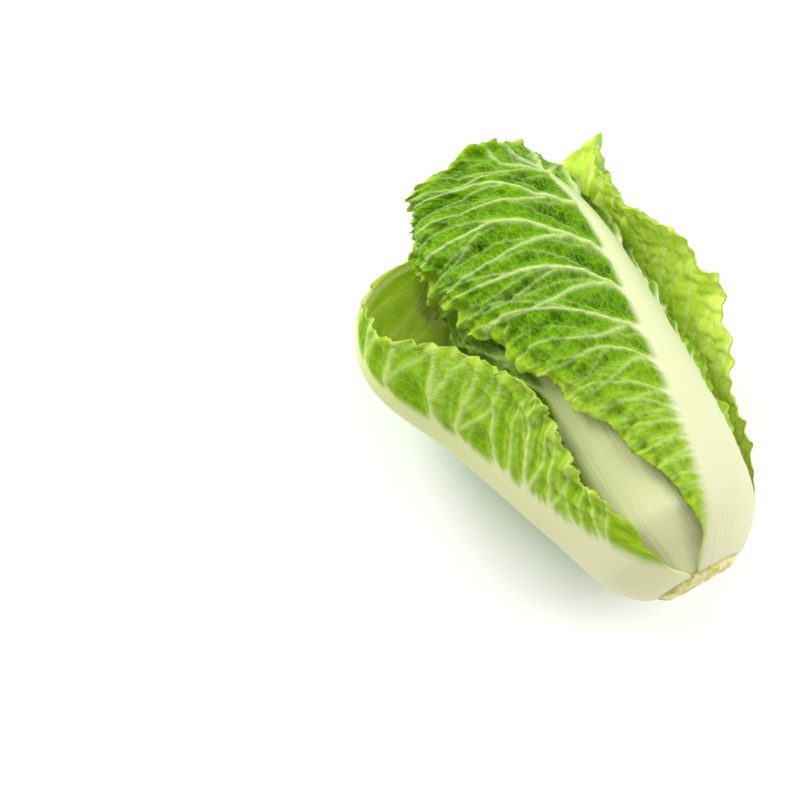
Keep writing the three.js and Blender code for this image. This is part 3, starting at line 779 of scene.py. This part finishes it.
def leaf_tissue(name, colours, glow, pucker_depth):
    """Waxy leaf skin over a watery blade; the looks stored on the leaf say where each colour goes.
    glow is how much of the light scatters inside the blade, and pucker_depth is how many millimetres the
    skin is puckered in the net's cells."""
    material, tree = new_material(name)
    paint = {key: linear(value) for key, value in colours.items()}
    look = {key: add_node(tree, "ShaderNodeAttribute", attribute_name=key).outputs["Fac"]
            for key in LOOKS}
    flat = add_node(tree, "ShaderNodeUVMap", uv_map="flat").outputs["UV"]
    net_at = add_node(tree, "ShaderNodeUVMap", uv_map="net").outputs["UV"]

    blotch = add_node(tree, "ShaderNodeTexNoise", [("Vector", flat), ("Scale", 1 / (BLOTCH * MM)),
                                                   ("Detail", 4)])
    uneven = add_node(tree, "ShaderNodeMath", [(0, blotch.outputs["Fac"]), (1, 0.5)],
                      operation="SUBTRACT")
    # blotches of lighter or darker green, plus the painted shading stored on the leaf
    painted_shading_and_tone = add_node(tree, "ShaderNodeMath", [(0, uneven.outputs[0]), (1, 0.9), (2, look["painted_shading_and_tone"])],
                    operation="MULTIPLY_ADD", use_clamp=True).outputs[0]
    low = add_node(tree, "ShaderNodeMapRange", [("Value", look["height"]), ("From Min", 0.55),
                                               ("From Max", 0.15), ("To Max", 0.7)]).outputs[0]

    warp = add_node(tree, "ShaderNodeTexNoise", [("Vector", net_at), ("Scale", 0.8), ("Detail", 2)])
    bent = add_node(tree, "ShaderNodeVectorMath", [(0, warp.outputs["Color"]), (1, NET_WARP),
                                                   (2, net_at)], operation="MULTIPLY_ADD").outputs[0]
    nets = []
    for scale, width, strength in NETS:
        edge = add_node(tree, "ShaderNodeTexVoronoi", [("Vector", bent), ("Scale", scale)],
                        feature="DISTANCE_TO_EDGE", voronoi_dimensions="2D").outputs["Distance"]
        nets.append(add_node(tree, "ShaderNodeMapRange", [
            ("Value", edge), ("From Min", 0.0), ("From Max", width), ("To Min", strength),
            ("To Max", 0.0),
        ], interpolation_type="SMOOTHSTEP").outputs[0])
    net = add_node(tree, "ShaderNodeMath", [(0, nets[0]), (1, nets[1])], operation="MAXIMUM").outputs[0]
    pucker = add_node(tree, "ShaderNodeTexVoronoi", [("Vector", bent), ("Scale", 1.0)],
                      feature="SMOOTH_F1", voronoi_dimensions="2D").outputs["Distance"]
    # the dark ground is painted shade and the light coat painted light; the margin coat is partly the
    # margin's own paler green and partly painted glow
    blade = coats(tree, paint["dark"], [
        (painted_shading_and_tone, paint["light"]), (low, paint["lower"]), (look["margin"], paint["margin"]),
        (net, paint["net"]), (look["vein"], paint["vein"]),
    ])

    high = add_node(tree, "ShaderNodeMapRange", [("Value", look["height"]), ("From Min", 0.1),
                                                ("From Max", 0.7)]).outputs[0]
    strands_at = add_node(tree, "ShaderNodeMapping", [("Vector", flat), ("Scale", STRAND_SCALE)])
    strands = add_node(tree, "ShaderNodeTexNoise", [("Vector", strands_at.outputs[0]),
                                                    ("Scale", 1 / (STRAND * MM)), ("Detail", 3)])
    streak = add_node(tree, "ShaderNodeMapRange", [("Value", strands.outputs["Fac"]), ("From Min", 0.45),
                                                  ("From Max", 0.75), ("To Max", 0.16)]).outputs[0]
    stalk = coats(tree, paint["rib"], [(high, paint["rib_high"]), (streak, paint["rib_high"])])
    colour = coats(tree, blade, [(look["pale"], stalk)])

    surface = add_node(tree, "ShaderNodeMix", [(0, look["pale"]), (2, pucker), (3, streak)],
                       data_type="FLOAT")
    bump = add_node(tree, "ShaderNodeBump", [("Height", surface.outputs[0]), ("Strength", 0.9),
                                             ("Distance", pucker_depth * MM)])
    skin = add_node(tree, "ShaderNodeBsdfPrincipled", [
        ("Base Color", colour), ("Roughness", 0.45), ("IOR", 1.4), ("Specular IOR Level", 0.1),
        ("Normal", bump.outputs[0]), ("Subsurface Weight", glow), ("Subsurface Radius", (0.8, 1.0, 0.2)),
        ("Subsurface Scale", 3 * MM),
    ])
    add_node(tree, "ShaderNodeOutputMaterial", [("Surface", skin.outputs[0])])
    return material


# %% The leaves' colours
# In each set, dark is the painted shade of the hollows and light the painted light on the hills; margin is
# the margin's own paler green with painted glow.
green_back = leaf_tissue("green leaf back", dict(
    dark="#1e4c00", light="#6b9e00", lower="#9cba18", margin="#96b622", net="#8aba26", vein="#ccdd90",
    rib="#d3d3ae", rib_high="#d3dca8"), glow=0.05, pucker_depth=1.8)
green_face = leaf_tissue("green leaf face", dict(
    dark="#64920f", light="#98bd34", lower="#b1c644", margin="#a8c240", net="#b2cc54", vein="#c8da86",
    rib="#dfe0b4", rib_high="#d2dc94"), glow=0.4, pucker_depth=1.2)
shaded_back = leaf_tissue("shaded leaf back", dict(
    dark="#335b04", light="#6f9c1e", lower="#94b034", margin="#80a428", net="#90b63c", vein="#b4ca7c",
    rib="#d4d7a8", rib_high="#a4b464"), glow=0.05, pucker_depth=1.6)
young_back = leaf_tissue("young leaf back", dict(
    dark="#558600", light="#80ab0c", lower="#91b318", margin="#a8c43a", net="#98be2c", vein="#cadb86",
    rib="#dadab0", rib_high="#d0d894"), glow=0.05, pucker_depth=0.9)
# the right leaf's inner face: its own pale yellow-green, made paler still as painted light and painted
# glow of light through the blade
pale_face_painted_glow = leaf_tissue("pale leaf face with painted glow", dict(
    dark="#b4cf2a", light="#d2e35e", lower="#d4e068", margin="#d6e46e", net="#d6e47c", vein="#e0eaa2",
    rib="#e4e8c0", rib_high="#e2e8b8"), glow=0.8, pucker_depth=1.2)
# inside of the left leaf's curled tip: painted light, colours near white so that the shaded hollow of the
# curl looks lit, with painted glow
curled_face_painted_light = leaf_tissue("curled leaf face, painted light", dict(
    dark="#bed83c", light="#d9e874", lower="#dce87c", margin="#dce97c", net="#dfea8c", vein="#e9f0b4",
    rib="#f2f4d8", rib_high="#f6f8e0"), glow=0.8, pucker_depth=0.8)
heart_tissue = leaf_tissue("heart leaf", dict(
    dark="#c9d675", light="#e3e9a0", lower="#eef0c0", margin="#d5de7c", net="#e8eeb4", vein="#eef2c4",
    rib="#f4f3d6", rib_high="#eef0bc"), glow=0.2, pucker_depth=1.0)
print("materials:", [material.name for material in bpy.data.materials])

# %% [markdown]
# ## Cut stem tissue
# The scar is pale flesh that has dried to a corky tan, brown where it crumbles. Above the scar the stem
# is fresh, so its colour changes along the axis.

# %% Cut stem tissue
PATCH, CRUMB = 6, 2.5  # millimetres across a dry patch and a crumb
FRESH_FROM, FRESH_AT = 0.5, 4  # millimetres along the axis over which the dry scar turns to fresh stem


def stem_tissue():
    """Rough dry scar on a pale fresh stem."""
    material, tree = new_material("cut stem")
    at = add_node(tree, "ShaderNodeTexCoord").outputs["Object"]
    patches = add_node(tree, "ShaderNodeTexNoise", [("Vector", at), ("Scale", 1 / (PATCH * MM)),
                                                    ("Detail", 5)])
    crumbs = add_node(tree, "ShaderNodeTexNoise", [("Vector", at), ("Scale", 1 / (CRUMB * MM)),
                                                   ("Detail", 4)])
    worn = add_node(tree, "ShaderNodeMapRange", [("Value", patches.outputs["Fac"]), ("From Min", 0.4),
                                                ("From Max", 0.65)]).outputs[0]
    brown = add_node(tree, "ShaderNodeMapRange", [("Value", crumbs.outputs["Fac"]), ("From Min", 0.55),
                                                 ("From Max", 0.75)]).outputs[0]
    along = add_node(tree, "ShaderNodeSeparateXYZ", [("Vector", at)]).outputs["X"]
    fresh = add_node(tree, "ShaderNodeMapRange", [
        ("Value", along), ("From Min", (axis_foot[0] + FRESH_FROM) * MM),
        ("From Max", (axis_foot[0] + FRESH_AT) * MM),
    ]).outputs[0]
    colour = coats(tree, linear("#e6e1a8"), [
        (worn, linear("#cec55e")), (brown, linear("#9f8b42")), (fresh, linear("#d6dcae")),
    ])
    bump = add_node(tree, "ShaderNodeBump", [("Height", crumbs.outputs["Fac"]), ("Strength", 0.9),
                                             ("Distance", 1.6 * MM)])
    skin = add_node(tree, "ShaderNodeBsdfPrincipled", [
        ("Base Color", colour), ("Roughness", 0.7), ("IOR", 1.4), ("Normal", bump.outputs[0])])
    add_node(tree, "ShaderNodeOutputMaterial", [("Surface", skin.outputs[0])])
    return material


cut_flesh = stem_tissue()
print("material:", cut_flesh.name)


# %% [markdown]
# ## Every piece gets its finish and its place in the frame
# A leaf carries two materials: its back, which is the outer side on a head, and its face, which looks in.
# Each piece takes the place of its own node of the frame. The young leaves are first joined to the
# heart's core.

# %% Dress and register the pieces
def dress(piece, materials, node):
    for i, material in enumerate(materials):
        piece.data.materials[i] = material
    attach(piece, "root")
    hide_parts(node)


OUTER_SKIN = {
    "leaf_front": [green_back, green_face], "leaf_under": [shaded_back, green_face],
    "leaf_left": [young_back, curled_face_painted_light], "leaf_right": [young_back, pale_face_painted_glow],
    "leaf_table": [green_back, green_face],
}
for node, piece in outer_pieces.items():
    dress(piece, OUTER_SKIN[node], node)
for node, piece in inner_pieces.items():
    dress(piece, [green_back, green_face], node)
for leaf in young:
    leaf.data.materials[0] = leaf.data.materials[1] = heart_tissue
heart.data.materials[0] = heart_tissue
bpy.ops.object.select_all(action="DESELECT")
for part in young + [heart]:
    part.select_set(True)
bpy.context.view_layer.objects.active = heart
bpy.ops.object.join()
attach(heart, "root")
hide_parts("heart")
dress(stem, [cut_flesh], "stem")
print(len(outer_pieces) + len(inner_pieces) + 2, "pieces dressed")

# %% [markdown]
# ## Studio
# A white table in a bright even room gives the light of a shop's picture: pale shadows all round.

# %% Table and room
TABLE_SIZE = 6  # metres a side, so that its edges are out of the picture
ROOM_LIGHT = 0.76

bpy.ops.object.select_all(action="DESELECT")
bpy.ops.mesh.primitive_plane_add(size=TABLE_SIZE)
table = bpy.context.object
table.name = "table"
paper, tree = new_material("white table")
matt = add_node(tree, "ShaderNodeBsdfPrincipled", [("Base Color", linear("#ffffff")), ("Roughness", 0.5)])
add_node(tree, "ShaderNodeOutputMaterial", [("Surface", matt.outputs[0])])
table.data.materials.append(paper)

room = bpy.data.worlds.new("bright room")
bpy.context.scene.world = room
room.use_nodes = True
walls = room.node_tree.nodes["Background"]
walls.inputs["Color"].default_value = linear("#ffffff")
walls.inputs["Strength"].default_value = ROOM_LIGHT
print("table", TABLE_SIZE, "m a side, room light", ROOM_LIGHT)

# %% [markdown]
# ## Camera
# The camera looks steeply down from the stem's side, so the head runs up and to the left in the picture.

# %% Camera
PICTURE = 800  # pixels a side
PICTURE_MIDDLE = PICTURE / 2
STEM_IN_PICTURE = (697, 577)  # where the foot of the axis is seen
LENS, SENSOR = 85.0, 36.0
DISTANCE = 1.145  # metres from the head
LEAN_LEFT = math.radians(28.5)  # how far the head's axis leans left in the picture
ELEVATION = math.radians(76)

right = Vector((-math.sin(LEAN_LEFT), -math.cos(LEAN_LEFT), 0))
up = Vector((math.sin(ELEVATION) * math.cos(LEAN_LEFT), -math.sin(ELEVATION) * math.sin(LEAN_LEFT),
             math.cos(ELEVATION)))
back = right.cross(up)
metres_per_pixel = DISTANCE / (LENS / SENSOR * PICTURE)
stem_right = (STEM_IN_PICTURE[0] - PICTURE_MIDDLE) * metres_per_pixel
stem_down = (STEM_IN_PICTURE[1] - PICTURE_MIDDLE) * metres_per_pixel
aim = Vector(axis_foot * MM) - right * stem_right + up * stem_down
eye = bpy.data.cameras.new("camera")
eye.lens, eye.sensor_width = LENS, SENSOR
camera = bpy.data.objects.new("camera", eye)
facing = Matrix((right, up, back)).transposed().to_4x4()
camera.matrix_world = Matrix.Translation(aim + back * DISTANCE) @ facing
bpy.context.collection.objects.link(camera)
bpy.context.scene.camera = camera
bpy.context.scene.view_settings.view_transform = "Standard"
print("camera at", [round(value, 3) for value in aim + back * DISTANCE])

# %% [markdown]
# ## Lamps
# A key lamp at the picture's upper left brings out the crinkles, and a larger, weaker fill lamp on the
# right keeps that side of the head pale. Both are placed by the picture's own right and up.

# %% Lamps
HEAD_MIDDLE = Vector((0, 0, 0.08))


def soft_lamp(name, side, height, size, power):
    """A square soft lamp aimed at the head; side is metres to the right and up in the picture, height is
    metres above the head's middle, and power is in watts."""
    lamp = bpy.data.lights.new(name, "AREA")
    lamp.size, lamp.energy = size, power
    holder = bpy.data.objects.new(name, lamp)
    away = Vector((up.x, up.y, 0)).normalized()
    place = HEAD_MIDDLE + right * side[0] + away * side[1] + Vector((0, 0, height))
    holder.location = place
    holder.rotation_euler = (place - HEAD_MIDDLE).to_track_quat("Z", "Y").to_euler()
    bpy.context.collection.objects.link(holder)


soft_lamp("key lamp", side=(-0.95, 0.85), height=0.85, size=0.6, power=17)
soft_lamp("fill lamp", side=(1.1, 0.2), height=0.9, size=1.0, power=11)
print("lamps:", [light.name for light in bpy.data.lights])
